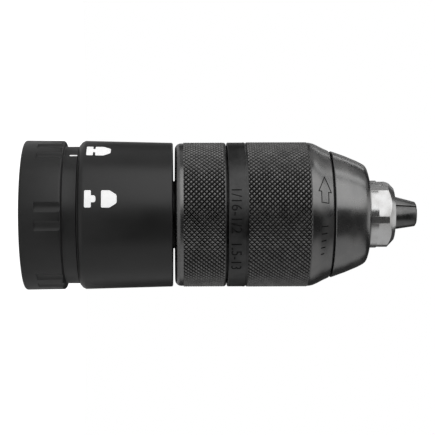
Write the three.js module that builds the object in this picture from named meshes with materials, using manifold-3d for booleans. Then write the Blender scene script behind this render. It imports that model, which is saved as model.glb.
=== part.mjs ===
// Keyless drill chuck on a quick-change spindle adapter, drawn locked and closed.
// Millimetres. +Z runs along the axis from the spindle end (z = 0) to the jaw tips.
// Turned shapes are profiles of [radius, z] points listed counterclockwise, with +z up.
import * as THREE from "three";
import { mergeVertices } from "three/addons/utils/BufferGeometryUtils.js";
import Module from "manifold-3d";

const wasm = await Module();
wasm.setup();

// ---------------------------------------------------------------- driving dimensions

const SIDES = 36; // sides of the outer covers
const INNER_SIDES = 24; // sides of the turned pieces inside them
const SMALL_SIDES = 16; // sides of small round bars
const FIT = 0.1; // radial gap of coaxial pieces that fit closely
const FACE_GAP = 0.1; // axial gap between faces that rest on each other

// Stations along the axis
const GRIP_FRONT = 12.1;
const NECK_FRONT = 16.3;
const ICON_SLEEVE_REAR = 16.4;
const ICON_SLEEVE_FRONT = 43.7;
const REAR_RING_REAR = 44.3;
const REAR_RING_FRONT = 59.4;
const FRONT_SLEEVE_REAR = 59.7;
const SLEEVE_CONE = 83.1;
const FRONT_SLEEVE_FRONT = 90;
const CAP_REAR = 90.5;
const CAP_FRONT = 101.9;
const NOSE_FRONT = 109.4;
const JAW_TIP = 116.4;

// Outer radii
const GRIP_RADIUS = 22.2;
const NECK_RADIUS = 20.35;
const ICON_SLEEVE_RADIUS = 22.05;
const KNURL_RADIUS = 21.5;
const CONE_FRONT_RADIUS = 18.85; // where the sleeve's cone meets the nose cap
const NOSE_RADIUS = 10.05;

// Spindle adapter
const SOCKET_RADIUS = 11.5;
const SOCKET_REAR = 0.6;
const SOCKET_FLOOR = 32;
const HUB_RADIUS = 14.3;
const SPIGOT_RADIUS = 6.35; // 1/2 inch thread
const SPIGOT_FRONT = 57.6;
const SCREW_HOLE_RADIUS = 3.1;
const SCREW_HOLE_FLOOR = 46.2;
const SHAFT_SHOULDER = 43.7; // front of the hub's shaft, where the spigot begins
const SEAL_GROOVE = { floor: 12.6, rear: 2.65, front: 4.35 };
const SNAP_GROOVE = { floor: 13.4, rear: 0.95, front: 2.15 };
const CIRCLIP_GROOVE = { floor: 9.3, rear: 42.25, front: 43.15 };

// Ball lock: three balls that a spiral cam lets out of the spindle's pockets
const LOCK_BALL_RADIUS = 2.5;
const LOCK_BALL_CENTRE = 12.6;
const LOCK_BALL_Z = 8;
const LOCK_BALL_TRAVEL = 1.516;
const LOCK_BALL_ANGLES = [30, 150, 270];
const UNLOCK_TURN = 46.5;
const CAM_LAND_RADIUS = 15.25;
const CAM_OUTER_RADIUS = 18.4;
const CAM_REAR = 4.3;
const CAM_STEP = 10.5; // pockets behind this plane, stop slot in front of it
const CAM_FRONT = 13;
const STOP_RADIUS = 17.1; // pitch radius of the stop pin and of the click plunger
const STOP_ANGLE = 95;
const CLICK_ANGLE = 215;
const FLANGE_REAR = 16.4;
const FLANGE_FRONT = 19.4;
const PIN_FRONT = 18.9; // front end of the stop pin and of the click plunger

// Jaws: three round bars that slide in tilted bores
const JAW_ANGLES = [174, 294, 54];
const JAW_RADIUS = 3.75;
const JAW_BORE_RADIUS = 3.95;
const JAW_TILT = THREE.MathUtils.degToRad(15);
const JAW_REAR = 79;
const JAW_TIP_OFFSET = -0.34; // the centreline's radius at the tip: it has just crossed the axis
const JAW_FACE_GAP = 0.22; // from the wedge plane between two jaws to each jaw's face
const JAW_BITE_RADIUS = 0.6;
const JAW_TIP_CHAMFER = 0.45;
const JAW_OPENING = 5.75; // radial travel

// Thread between nut and jaws
const PITCH = 2.5;
const THREAD_PHASE = 79.4; // z of the ridge at azimuth 0
const THREAD_STEPS = 18; // steps per turn, and sides of the nut
const THREAD = { rootGap: 0.4, depth: 1.25, rootWidth: 1.6, crestWidth: 0.7, anchor: 0.4 };
const THREAD_CLEARANCE = 0.25;
const NUT_REAR = 78.6;
const NUT_FLANGE_FRONT = 80;
const NUT_FRONT = 86.5;
const NUT_RADIUS = 16.5;
const NUT_SPLIT_GAP = 0.15; // from the split plane to each half

// Thrust bearing behind the nut
const BEARING_PITCH_RADIUS = 16.95;
const BEARING_INNER = 15.75;
const BEARING_OUTER = 18.15;
const BEARING_BALL_RADIUS = 1.3;
const BEARING_BALL_Z = 75.15;
const BEARING_BALLS = 10;
const RACE_GROOVE_RADIUS = 1.4;
const RACE_OFFSET = 1.1; // from the ball centres to a race's flat face

// Chuck body
const BODY_REAR = 43.75;
const BODY_STEP = 45.3;
const BODY_REAR_RADIUS = 19.9;
const BODY_REAR_FRONT = 59.1;
const BODY_SHOULDER_RADIUS = 18.9;
const BODY_SHOULDER_FRONT = 63.8;
const BODY_FLANGE_RADIUS = 17.9;
const BODY_FLANGE_FRONT = 71.8;
const BODY_BEARING_RADIUS = 15.5;
const BODY_NUT_GROOVE_RADIUS = 10.1;
const BODY_FRONT_RADIUS = 13;
const BODY_CAP_SEAT = 98.5;
const BODY_BORE_RADIUS = 6.7;
const BODY_BORE_FLOOR = 62;
const JAW_BORE_REAR = 57.2;
const HEX_ACROSS_FLATS = 18.4;
const HEX_REAR = 104.2;
const HEX_ANGLE = 10.2;

// Inside of the front sleeve
const SLEEVE_BORE_RADIUS = 18.6;
const SLEEVE_FRONT_WALL = 87;

// ---------------------------------------------------------------- geometry helpers

const radians = THREE.MathUtils.degToRad;

/** Turns a profile of [radius, z] points about the Z axis. */
function turned(profile, sides = SIDES) {
  const points = profile.map(([r, z]) => new THREE.Vector2(r, z));
  const onAxis = profile[0][0] === 0 && profile.at(-1)[0] === 0;
  if (!onAxis) points.push(points[0].clone());
  return new THREE.LatheGeometry(points, sides).rotateX(Math.PI / 2);
}

/** Points of an arc in a profile, its angles in degrees from the radial direction. */
function arc(r, z, radius, from, to, steps = 3) {
  return Array.from({ length: steps + 1 }, (_, i) => {
    const a = radians(from + ((to - from) * i) / steps);
    return [r + radius * Math.cos(a), z + radius * Math.sin(a)];
  });
}

/** A plain ring between two radii. */
function ring(inner, outer, rear, front, sides = SIDES) {
  const profile = [
    [inner, rear],
    [outer, rear],
    [outer, front],
    [inner, front],
  ];
  return turned(profile, sides);
}

/** A round bar along Z. */
function bar(radius, rear, front, sides = SMALL_SIDES) {
  return new THREE.CylinderGeometry(radius, radius, front - rear, sides)
    .rotateX(Math.PI / 2)
    .translate(0, 0, (rear + front) / 2);
}

/** A box from its limits. */
function block([x0, x1], [y0, y1], [z0, z1]) {
  return new THREE.BoxGeometry(x1 - x0, y1 - y0, z1 - z0).translate(
    (x0 + x1) / 2,
    (y0 + y1) / 2,
    (z0 + z1) / 2,
  );
}

/** A flat outline of [x, y] points raised from one z to another. */
function raised(outline, rear, front, hole) {
  const shape = new THREE.Shape(outline.map(([x, y]) => new THREE.Vector2(x, y)));
  if (hole) shape.holes.push(new THREE.Path(hole.map(([x, y]) => new THREE.Vector2(x, y))));
  return new THREE.ExtrudeGeometry(shape, {
    depth: front - rear,
    bevelEnabled: false,
  }).translate(0, 0, rear);
}

/** A ball at a place. */
function ball(radius, x, y, z, sides = 12) {
  return new THREE.SphereGeometry(radius, sides, sides / 2).rotateX(Math.PI / 2).translate(x, y, z);
}

/** The same geometry turned about the Z axis, in degrees. */
function about(geometry, degrees) {
  return geometry.clone().rotateZ(radians(degrees));
}

/** A point at a radius and an azimuth in degrees. */
function polar(radius, degrees) {
  return [radius * Math.cos(radians(degrees)), radius * Math.sin(radians(degrees))];
}

/** A closed geometry as a manifold-3d solid. */
function solid(geometry) {
  if (geometry instanceof wasm.Manifold) return geometry;
  const bare = geometry.index ? geometry.toNonIndexed() : geometry.clone();
  for (const name of Object.keys(bare.attributes)) {
    if (name !== "position") bare.deleteAttribute(name);
  }
  const merged = mergeVertices(bare, 1e-4);
  const corners = merged.index.array;
  const faces = [];
  for (let i = 0; i < corners.length; i += 3) {
    const [a, b, c] = corners.slice(i, i + 3);
    if (a !== b && b !== c && c !== a) faces.push(a, b, c);
  }
  return new wasm.Manifold(
    new wasm.Mesh({
      numProp: 3,
      vertProperties: merged.attributes.position.array,
      triVerts: new Uint32Array(faces),
    }),
  );
}

const cut = (whole, ...tools) => tools.reduce((left, t) => left.subtract(solid(t)), solid(whole));
const join = (first, ...rest) => rest.reduce((sum, s) => sum.add(solid(s)), solid(first));
const overlap = (a, b) => solid(a).intersect(solid(b));

/** A manifold-3d solid as a three.js geometry. */
function geometryOf(shape) {
  if (shape instanceof THREE.BufferGeometry) return shape;
  const mesh = shape.getMesh();
  const geometry = new THREE.BufferGeometry();
  geometry.setAttribute("position", new THREE.BufferAttribute(mesh.vertProperties, 3));
  geometry.setIndex(new THREE.BufferAttribute(mesh.triVerts, 1));
  geometry.computeVertexNormals();
  return geometry;
}

// ---------------------------------------------------------------- jaws and their thread

/** Radius of a jaw's centreline at a height, jaws closed. */
const jawRadiusAt = (z) => JAW_TIP_OFFSET + (JAW_TIP - z) * Math.tan(JAW_TILT);

/** Root radius of the nut's conical thread: just outside the backs of the jaws. */
const threadRootAt = (z) => jawRadiusAt(z) + JAW_RADIUS / Math.cos(JAW_TILT) + THREAD.rootGap;

/** A round bar on the centreline of the jaw at azimuth 0, between two heights. */
function jawBar(radius, rear, front, sides = SMALL_SIDES) {
  const length = JAW_TIP - rear + 20;
  const tilted = bar(radius, -length, 20, sides)
    .rotateY(-JAW_TILT)
    .translate(JAW_TIP_OFFSET, 0, JAW_TIP);
  return overlap(tilted, block([-60, 60], [-60, 60], [rear, front]));
}

/** One thread ridge along a helix. Its crest points inward; grown makes it larger all round. */
function ridge(fromAngle, toAngle, steps, centreAt, grown = 0) {
  const { depth, rootWidth, crestWidth, anchor } = THREAD;
  const section = [
    [anchor, -rootWidth / 2 - grown],
    [-depth - grown, -crestWidth / 2 - grown],
    [-depth - grown, crestWidth / 2 + grown],
    [anchor, rootWidth / 2 + grown],
  ];
  const corners = [];
  for (let i = 0; i <= steps; i++) {
    const angle = fromAngle + ((toAngle - fromAngle) * i) / steps;
    const [radius, height] = centreAt(angle);
    for (const [dr, dz] of section) {
      corners.push((radius + dr) * Math.cos(angle), (radius + dr) * Math.sin(angle), height + dz);
    }
  }
  const faces = [3, 2, 1, 3, 1, 0];
  for (let i = 0; i < steps; i++) {
    for (let j = 0; j < 4; j++) {
      const [a, b] = [4 * i + j, 4 * i + ((j + 1) % 4)];
      faces.push(a, b, b + 4, a, b + 4, a + 4);
    }
  }
  const last = 4 * steps;
  faces.push(last, last + 1, last + 2, last, last + 2, last + 3);
  const geometry = new THREE.BufferGeometry();
  geometry.setAttribute("position", new THREE.Float32BufferAttribute(corners, 3));
  geometry.setIndex(faces);
  return geometry;
}

/** The grooves that the nut's ridge needs in the back of the jaw at a given azimuth. */
function jawGrooves(azimuth) {
  const middle = (NUT_REAR + NUT_FRONT) / 2;
  const phase = THREAD_PHASE + (PITCH * azimuth) / 360;
  const travel = JAW_OPENING / Math.tan(JAW_TILT);
  const grooves = [];
  const first = Math.ceil((JAW_REAR - PITCH - phase) / PITCH);
  const last = Math.floor((NUT_FRONT + travel + PITCH / 2 - phase) / PITCH);
  for (let turn = first; turn <= last; turn++) {
    const rise = phase + turn * PITCH - middle;
    const atNut = (angle) => [threadRootAt(middle), middle + (PITCH * angle) / (2 * Math.PI)];
    const reach = radians(22);
    const cutter = ridge(-reach, reach, 2, atNut, THREAD_CLEARANCE);
    grooves.push(cutter.translate(-rise * Math.tan(JAW_TILT), 0, rise));
  }
  return grooves;
}

/** A jaw: a tilted bar with a 120 degree wedge, a flat biting edge, a chamfered tip and a thread. */
function jaw(azimuth) {
  const apex = JAW_FACE_GAP / Math.sin(radians(60));
  const halfWidthAt = (x) => (x - apex) * Math.tan(radians(60));
  const outside = 20;
  const [tipTaper, tipRim] = [3, 1.1]; // lengths of the two cones behind the tip
  const wedge = raised(
    [
      [JAW_BITE_RADIUS, -halfWidthAt(JAW_BITE_RADIUS)],
      [outside, -halfWidthAt(outside)],
      [outside, halfWidthAt(outside)],
      [JAW_BITE_RADIUS, halfWidthAt(JAW_BITE_RADIUS)],
    ],
    JAW_REAR,
    JAW_TIP,
  );
  const back = JAW_TIP_OFFSET + JAW_RADIUS;
  const tipCone = turned(
    [
      [0, JAW_REAR],
      [outside, JAW_REAR],
      [outside, JAW_TIP - tipTaper],
      [back + 0.3, JAW_TIP - tipRim],
      [back - JAW_TIP_CHAMFER, JAW_TIP],
      [0, JAW_TIP],
    ],
    INNER_SIDES,
  );
  const blank = overlap(overlap(jawBar(JAW_RADIUS, JAW_REAR, JAW_TIP), wedge), tipCone);
  return about(geometryOf(cut(blank, ...jawGrooves(azimuth))), azimuth);
}

/** The whole nut, before it is split. */
function nut() {
  const wall = turned(
    [
      [threadRootAt(NUT_REAR), NUT_REAR],
      [BEARING_OUTER, NUT_REAR],
      [BEARING_OUTER, NUT_FLANGE_FRONT],
      [NUT_RADIUS, NUT_FLANGE_FRONT],
      [NUT_RADIUS, NUT_FRONT],
      [threadRootAt(NUT_FRONT), NUT_FRONT],
    ],
    THREAD_STEPS,
  );
  const stepAt = (z) => Math.round(((z - THREAD_PHASE) / PITCH) * THREAD_STEPS);
  const firstStep = stepAt(NUT_REAR - PITCH / 2);
  const steps = stepAt(NUT_FRONT + PITCH / 2) - firstStep;
  const from = (firstStep * 2 * Math.PI) / THREAD_STEPS;
  const to = from + (steps * 2 * Math.PI) / THREAD_STEPS;
  const onCone = (angle) => {
    const z = THREAD_PHASE + (PITCH * angle) / (2 * Math.PI);
    return [threadRootAt(z), z];
  };
  const thread = overlap(ridge(from, to, steps, onCone), bar(20, NUT_REAR, NUT_FRONT));
  return join(wall, thread);
}

/** One half of the split nut, on the given side of the split plane. */
function nutHalf(side) {
  const far = 30;
  const limits = side > 0 ? [NUT_SPLIT_GAP, far] : [-far, -NUT_SPLIT_GAP];
  return overlap(nut(), block([-far, far], limits, [NUT_REAR - 1, NUT_FRONT + 1]));
}

/** Steel shell that holds the nut's halves together and is pressed into the sleeve. */
function nutShell() {
  const endGap = 0.2;
  const [rear, front] = [NUT_FLANGE_FRONT + endGap, SLEEVE_FRONT_WALL - endGap];
  return ring(NUT_RADIUS + 0.15, SLEEVE_BORE_RADIUS - FIT, rear, front, INNER_SIDES);
}

// ---------------------------------------------------------------- spindle adapter

/** Finger ribs: each stands between two scoops that run out of the ring's front edge. */
function gripScoops() {
  const scoopRadius = 3;
  const scoopCentre = GRIP_RADIUS + 2.5;
  const scoopRear = 4.4;
  const ribToScoop = 6.9;
  const firstRib = -89;
  const scoops = [];
  for (let i = 0; i < 6; i++) {
    for (const side of [-ribToScoop, ribToScoop]) {
      const [x, y] = polar(scoopCentre, firstRib + 60 * i + side);
      scoops.push(bar(scoopRadius, scoopRear, GRIP_FRONT + 1).translate(x, y, 0));
    }
  }
  return scoops;
}

/** The cover that the user turns: ribbed grip, neck, and a rear wall round the hub. */
function changeRing() {
  const draft = 0.1;
  const [chamfer, rounding] = [0.6, 0.9];
  const bore = HUB_RADIUS + 0.4;
  const [recessRadius, recessDepth] = [17.6, 2.3]; // room for the snap ring
  const shell = turned([
    [recessRadius, 0],
    [GRIP_RADIUS - chamfer, 0],
    [GRIP_RADIUS, chamfer],
    ...arc(GRIP_RADIUS - draft - rounding, GRIP_FRONT - rounding, rounding, 0, 90, 2),
    [NECK_RADIUS, GRIP_FRONT],
    [NECK_RADIUS, NECK_FRONT],
    [CAM_OUTER_RADIUS + FIT, NECK_FRONT],
    [CAM_OUTER_RADIUS + FIT, CAM_REAR - FACE_GAP],
    [bore, CAM_REAR - FACE_GAP],
    [bore, recessDepth],
    [recessRadius, recessDepth],
  ]);
  return cut(shell, ...gripScoops());
}

/** Inner outline of the cam: a land, with a spiral pocket behind each ball. */
function camOutline() {
  const growth = LOCK_BALL_TRAVEL / UNLOCK_TURN;
  const overrun = 10;
  const landStep = 5;
  const spiralSteps = 12;
  const points = [];
  for (const ballAngle of LOCK_BALL_ANGLES) {
    const deep = ballAngle - UNLOCK_TURN - overrun;
    for (let a = ballAngle - 120 + landStep; a < deep; a += landStep) {
      points.push(polar(CAM_LAND_RADIUS, a));
    }
    points.push(polar(CAM_LAND_RADIUS, deep - 1));
    for (let i = 0; i <= spiralSteps; i++) {
      const back = (UNLOCK_TURN + overrun) * (1 - i / spiralSteps);
      points.push(polar(CAM_LAND_RADIUS + growth * back, ballAngle - back));
    }
  }
  return points;
}

/** Outline of a circle with the same facets as an inner turned piece. */
const circle = (radius) =>
  Array.from({ length: INNER_SIDES }, (_, i) => polar(radius, (360 * i) / INNER_SIDES - 90));

/** A slot along an arc about the axis, as an outline with square ends. */
function arcSlot(radius, halfWidth, fromAngle, toAngle) {
  const steps = 10;
  const step = (toAngle - fromAngle) / steps;
  const along = Array.from({ length: steps + 1 }, (_, i) => fromAngle + step * i);
  return [
    ...along.map((a) => polar(radius + halfWidth, a)),
    ...along.toReversed().map((a) => polar(radius - halfWidth, a)),
  ];
}

/** Steel ring pressed into the change ring: ball pockets behind, stop slot and click dimples in front. */
function camRing() {
  const pockets = raised(circle(CAM_OUTER_RADIUS), CAM_REAR, CAM_STEP, camOutline());
  const plate = raised(circle(CAM_OUTER_RADIUS), CAM_STEP, CAM_FRONT, circle(CAM_LAND_RADIUS));
  const slotHalfWidth = 0.95;
  const slotEnd = 3.2;
  const slotAngles = [STOP_ANGLE - UNLOCK_TURN - slotEnd, STOP_ANGLE + slotEnd];
  const slot = arcSlot(STOP_RADIUS, slotHalfWidth, ...slotAngles);
  const [dimpleRadius, dimpleLift] = [1.25, 0.5];
  const dimples = [0, -UNLOCK_TURN].map((turn) => {
    const [x, y] = polar(STOP_RADIUS, CLICK_ANGLE + turn);
    return ball(dimpleRadius, x, y, CAM_FRONT + dimpleLift);
  });
  return cut(join(pockets, plate), raised(slot, CAM_STEP, CAM_FRONT + 1), ...dimples);
}

/** A radial hole for one lock ball, narrowed at the bore so that the ball can't fall through. */
function ballHole(azimuth) {
  const mouth = LOCK_BALL_RADIUS - 0.2;
  const wide = LOCK_BALL_RADIUS + 0.2;
  const hole = turned(
    [
      [0, SOCKET_RADIUS - 1.5],
      [mouth, SOCKET_RADIUS - 0.2],
      [wide, SOCKET_RADIUS + 0.85],
      [wide, HUB_RADIUS + 1],
      [0, HUB_RADIUS + 1],
    ],
    20,
  );
  return hole
    .rotateY(Math.PI / 2)
    .translate(0, 0, LOCK_BALL_Z)
    .rotateZ(radians(azimuth));
}

/** One drive spline at the inner end of the socket. */
function splineKey(azimuth) {
  const [crest, halfWidth, rear, sunk] = [10.4, 1.5, 20, 0.5];
  const key = block(
    [crest, SOCKET_RADIUS + sunk],
    [-halfWidth, halfWidth],
    [rear, SOCKET_FLOOR + sunk],
  );
  return about(key, azimuth);
}

/** The four corners of a square groove in a wall of the given radius, from rear to front. */
function groove({ floor, rear, front }, wall) {
  return [
    [wall, rear],
    [floor, rear],
    [floor, front],
    [wall, front],
  ];
}

/** Steel core of the adapter: socket, flange, shaft and threaded spigot. */
function adapterHub() {
  const flangeRadius = 19.6;
  const [taperRear, taperFront] = [35, 39];
  const chamfer = 0.8;
  const core = turned(
    [
      [0, SOCKET_FLOOR],
      [SOCKET_RADIUS, SOCKET_FLOOR],
      ...groove(SEAL_GROOVE, SOCKET_RADIUS).toReversed(),
      [SOCKET_RADIUS, SOCKET_REAR],
      [HUB_RADIUS, SOCKET_REAR],
      ...groove(SNAP_GROOVE, HUB_RADIUS),
      [HUB_RADIUS, FLANGE_REAR],
      [flangeRadius, FLANGE_REAR],
      [flangeRadius, FLANGE_FRONT],
      [HUB_RADIUS, FLANGE_FRONT],
      [HUB_RADIUS, taperRear],
      [NOSE_RADIUS, taperFront],
      ...groove(CIRCLIP_GROOVE, NOSE_RADIUS),
      [NOSE_RADIUS, SHAFT_SHOULDER],
      [SPIGOT_RADIUS, SHAFT_SHOULDER],
      [SPIGOT_RADIUS, SPIGOT_FRONT - chamfer],
      [SPIGOT_RADIUS - chamfer, SPIGOT_FRONT],
      [SCREW_HOLE_RADIUS, SPIGOT_FRONT],
      [SCREW_HOLE_RADIUS, SCREW_HOLE_FLOOR],
      [0, SCREW_HOLE_FLOOR],
    ],
    INNER_SIDES,
  );
  const flangeHole = (radius, azimuth) => {
    const [x, y] = polar(STOP_RADIUS, azimuth);
    return bar(radius, FLANGE_REAR - 1, FLANGE_FRONT + 1).translate(x, y, 0);
  };
  const keys = [0, 60, 120, 180, 240, 300].map(splineKey);
  return cut(
    join(core, ...keys),
    ...LOCK_BALL_ANGLES.map(ballHole),
    flangeHole(0.9, STOP_ANGLE),
    flangeHole(1.3, CLICK_ANGLE),
  );
}

/** A lock ball, pressed in to hold the spindle. */
function lockBall(azimuth) {
  const [x, y] = polar(LOCK_BALL_CENTRE, azimuth);
  return ball(LOCK_BALL_RADIUS, x, y, LOCK_BALL_Z);
}

/** Pin in the hub's flange that ends the change ring's turn. */
function stopPin() {
  const [x, y] = polar(STOP_RADIUS, STOP_ANGLE);
  return bar(0.8, CAM_STEP + 0.3, PIN_FRONT, 12).translate(x, y, 0);
}

/** Sprung plunger in the flange. Its round tip is drawn lifted just clear of the cam ring's dimple. */
function clickPlunger() {
  const [x, y] = polar(STOP_RADIUS, CLICK_ANGLE);
  const [radius, lift] = [1.15, 1.35];
  const tip = arc(0, CAM_FRONT + lift, radius, -90, 0, 4);
  tip[0][0] = 0;
  return turned([...tip, [radius, PIN_FRONT], [0, PIN_FRONT]], 12).translate(x, y, 0);
}

/** Wave washer that keeps the change ring from rattling: its height follows two waves per turn. */
function waveWasher() {
  const [inner, outer, thickness, swing, lift] = [14.65, 16, 0.4, 0.5, 0.6];
  const middle = (CAM_FRONT + FLANGE_REAR) / 2 + lift;
  const washer = ring(inner, outer, middle - thickness / 2, middle + thickness / 2, INNER_SIDES);
  const place = washer.attributes.position;
  for (let i = 0; i < place.count; i++) {
    const angle = Math.atan2(place.getY(i), place.getX(i));
    place.setZ(i, place.getZ(i) + swing * Math.cos(2 * angle));
  }
  return washer;
}

/** A flat ring that lies in a groove and is open for the given degrees, to be sprung into place. */
function openRing({ floor, rear, front }, outer, opening) {
  const far = 30;
  const gap = [[0, 0], polar(far, -opening / 2), polar(far, opening / 2)];
  const whole = ring(floor + FIT, outer, rear + FACE_GAP, front - FACE_GAP, INNER_SIDES);
  return cut(whole, raised(gap, rear, front));
}

/** Retaining ring that keeps the change ring on the hub. */
const snapRing = () => openRing(SNAP_GROOVE, 16.8, 40);

/** Circlip that holds the icon sleeve on the shaft. */
const sleeveCirclip = () => openRing(CIRCLIP_GROOVE, 11.9, 50);

/** Smooth cover over the adapter, carried on inner ribs and held by a circlip at its front wall. */
function iconSleeve() {
  const [rounding, chamfer] = [1.8, 0.6];
  const [mouth, bore] = [19.75, 18.8];
  const shaftHole = NOSE_RADIUS + 0.3;
  const clipRecess = 12.3;
  const [wallRear, wallFront] = [40.8, 42.2];
  const front = KNURL_RADIUS - 0.05;
  const cover = turned([
    [mouth, ICON_SLEEVE_REAR],
    [20.7, ICON_SLEEVE_REAR],
    ...arc(ICON_SLEEVE_RADIUS - rounding, ICON_SLEEVE_REAR + rounding, rounding, -65, 0),
    [front, ICON_SLEEVE_FRONT - chamfer],
    [front - chamfer, ICON_SLEEVE_FRONT],
    [clipRecess, ICON_SLEEVE_FRONT],
    [clipRecess, wallFront],
    [shaftHole, wallFront],
    [shaftHole, wallRear],
    [bore, wallRear],
    [bore, FLANGE_FRONT + FACE_GAP],
    [mouth, FLANGE_FRONT + FACE_GAP],
  ]);
  const ribSection = [[HUB_RADIUS + 0.2, bore + 0.4], [-0.9, 0.9]];
  const rib = block(...ribSection, [FLANGE_FRONT + 0.6, 34.6]);
  const ribs = [0, 60, 120, 180, 240, 300].map((a) => about(rib, a));
  return join(cover, ...ribs);
}

/** Rubber ring in the socket's groove. */
function socketSeal() {
  const [radius, thickness] = [11.9, 1.3];
  const middle = (SEAL_GROOVE.rear + SEAL_GROOVE.front) / 2;
  return turned(arc(radius, middle, thickness / 2, 0, 300, 5), INNER_SIDES);
}

// ---------------------------------------------------------------- chuck

/** A hexagonal prism outline with its flats at the given azimuth. */
const hexagon = (acrossFlats, azimuth) =>
  Array.from({ length: 6 }, (_, i) => polar(acrossFlats / Math.sqrt(3), azimuth + 30 + 60 * i));

/** Steel body: everything else is carried on it or slides in it. */
function chuckBody() {
  const endGap = 0.2; // in front of the nut and of the spigot
  const chamfer = 2.1;
  const screwClearance = SCREW_HOLE_RADIUS + 0.2;
  const core = turned(
    [
      [SPIGOT_RADIUS + FIT, BODY_REAR],
      [NOSE_RADIUS, BODY_REAR],
      [NOSE_RADIUS, BODY_STEP],
      [BODY_REAR_RADIUS, BODY_STEP],
      [BODY_REAR_RADIUS, BODY_REAR_FRONT],
      [BODY_SHOULDER_RADIUS, BODY_REAR_FRONT],
      [BODY_SHOULDER_RADIUS, BODY_SHOULDER_FRONT],
      [BODY_FLANGE_RADIUS, BODY_SHOULDER_FRONT],
      [BODY_FLANGE_RADIUS, BODY_FLANGE_FRONT],
      [BODY_BEARING_RADIUS, BODY_FLANGE_FRONT],
      [BODY_BEARING_RADIUS, NUT_REAR - FACE_GAP],
      [BODY_NUT_GROOVE_RADIUS, NUT_REAR - FACE_GAP],
      [BODY_NUT_GROOVE_RADIUS, NUT_FRONT + endGap],
      [BODY_FRONT_RADIUS, NUT_FRONT + endGap],
      [BODY_FRONT_RADIUS, BODY_CAP_SEAT],
      [NOSE_RADIUS, BODY_CAP_SEAT],
      [NOSE_RADIUS, NOSE_FRONT - chamfer],
      [NOSE_RADIUS - chamfer, NOSE_FRONT],
      [BODY_BORE_RADIUS, NOSE_FRONT],
      [BODY_BORE_RADIUS, BODY_BORE_FLOOR],
      [screwClearance, BODY_BORE_FLOOR],
      [screwClearance, SPIGOT_FRONT + endGap],
      [SPIGOT_RADIUS + FIT, SPIGOT_FRONT + endGap],
    ],
    INNER_SIDES,
  );
  const bores = JAW_ANGLES.map((a) =>
    about(geometryOf(jawBar(JAW_BORE_RADIUS, JAW_BORE_REAR, NOSE_FRONT + 1)), a),
  );
  const flats = hexagon(HEX_ACROSS_FLATS, HEX_ANGLE);
  const aroundHex = raised(circle(NOSE_RADIUS + 2), HEX_REAR, NOSE_FRONT + 1, flats);
  return cut(core, ...bores, aroundHex);
}

/** Knurled ring pressed on the back of the body, which the user holds still. */
function rearRing() {
  const hole = 13;
  const [bandDrop, bandFront] = [0.2, REAR_RING_REAR + 5]; // the plain band behind the knurl
  const [rearRounding, frontRounding] = [1.8, 1.2];
  const band = KNURL_RADIUS - bandDrop;
  return turned([
    [hole, REAR_RING_REAR],
    ...arc(band - rearRounding, REAR_RING_REAR + rearRounding, rearRounding, -90, 0, 2),
    [KNURL_RADIUS, bandFront],
    ...arc(KNURL_RADIUS - frontRounding, REAR_RING_FRONT - frontRounding, frontRounding, 0, 90, 2),
    [BODY_REAR_RADIUS + FIT, REAR_RING_FRONT],
    [BODY_REAR_RADIUS + FIT, BODY_STEP - FACE_GAP],
    [hole, BODY_STEP - FACE_GAP],
  ]);
}

/** Knurled sleeve that turns the nut: a straight grip that bends smoothly into a cone. */
function frontSleeve() {
  const gap = 0.4; // running clearance on the body
  const chamfer = 0.4;
  const bend = [
    [21.4, SLEEVE_CONE + 1],
    [21.15, SLEEVE_CONE + 2.2],
    [20.63, SLEEVE_CONE + 3.4],
  ];
  return turned([
    [BODY_SHOULDER_RADIUS + gap, FRONT_SLEEVE_REAR],
    [KNURL_RADIUS - chamfer, FRONT_SLEEVE_REAR],
    [KNURL_RADIUS, FRONT_SLEEVE_REAR + chamfer],
    [KNURL_RADIUS, SLEEVE_CONE],
    ...bend,
    [CONE_FRONT_RADIUS, FRONT_SLEEVE_FRONT],
    [BODY_FRONT_RADIUS + gap, FRONT_SLEEVE_FRONT],
    [BODY_FRONT_RADIUS + gap, SLEEVE_FRONT_WALL],
    [SLEEVE_BORE_RADIUS, SLEEVE_FRONT_WALL],
    [SLEEVE_BORE_RADIUS, BODY_SHOULDER_FRONT + gap],
    [BODY_SHOULDER_RADIUS + gap, BODY_SHOULDER_FRONT + gap],
  ]);
}

/** Slightly crowned cone at the front, pressed on the body in front of the sleeve. */
function noseCap() {
  const chamfer = 0.3;
  const crown = [
    [17.4, CAP_REAR + 4.4],
    [15.9, CAP_REAR + 8],
    [14.55, CAP_REAR + 10.3],
    [13.6, CAP_REAR + 10.95],
  ];
  const hole = NOSE_RADIUS + 0.25;
  const lip = 0.25;
  const seat = BODY_CAP_SEAT + 0.2;
  const [recessRadius, recessFloor] = [16, 94.5];
  return turned([
    [recessRadius, CAP_REAR],
    [CONE_FRONT_RADIUS - chamfer, CAP_REAR],
    [CONE_FRONT_RADIUS, CAP_REAR + chamfer],
    ...crown,
    [hole + lip, CAP_FRONT],
    [hole, CAP_FRONT - lip],
    [hole, seat],
    [BODY_FRONT_RADIUS + FIT, seat],
    [BODY_FRONT_RADIUS + FIT, recessFloor],
    [recessRadius, recessFloor],
  ]);
}

/** Plastic washer between the turning sleeve and the cap. */
function slipWasher() {
  const faceGap = 0.06;
  const [rear, front] = [FRONT_SLEEVE_FRONT + faceGap, CAP_REAR - faceGap];
  return ring(BODY_FRONT_RADIUS + 0.2, 17.7, rear, front);
}

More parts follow.
